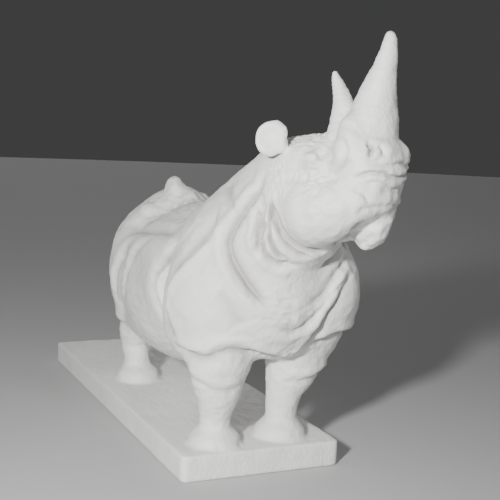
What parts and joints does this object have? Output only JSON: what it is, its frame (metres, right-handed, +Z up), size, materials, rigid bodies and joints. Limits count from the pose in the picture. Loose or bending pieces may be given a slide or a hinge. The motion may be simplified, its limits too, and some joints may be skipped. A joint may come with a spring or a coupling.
{
  "type": "rhinoceros sculpture",
  "caption": "White plaster sculpture of a standing rhinoceros with raised, turned head, tall horns and heavy skin folds, cast in one with a rectangular slab.",
  "frame": {"origin": "centre of the slab's flat underside", "axes": "+X is the way the animal's body faces, +Y is the animal's left, +Z is up"},
  "size_m": [0.6043, 0.1879, 0.4073],
  "materials": {
    "plaster": "matt white plaster with brush and tool marks"
  },
  "bodies": {
    "root": {"rhinoceros": "plaster"}
  },
  "joints": []
}
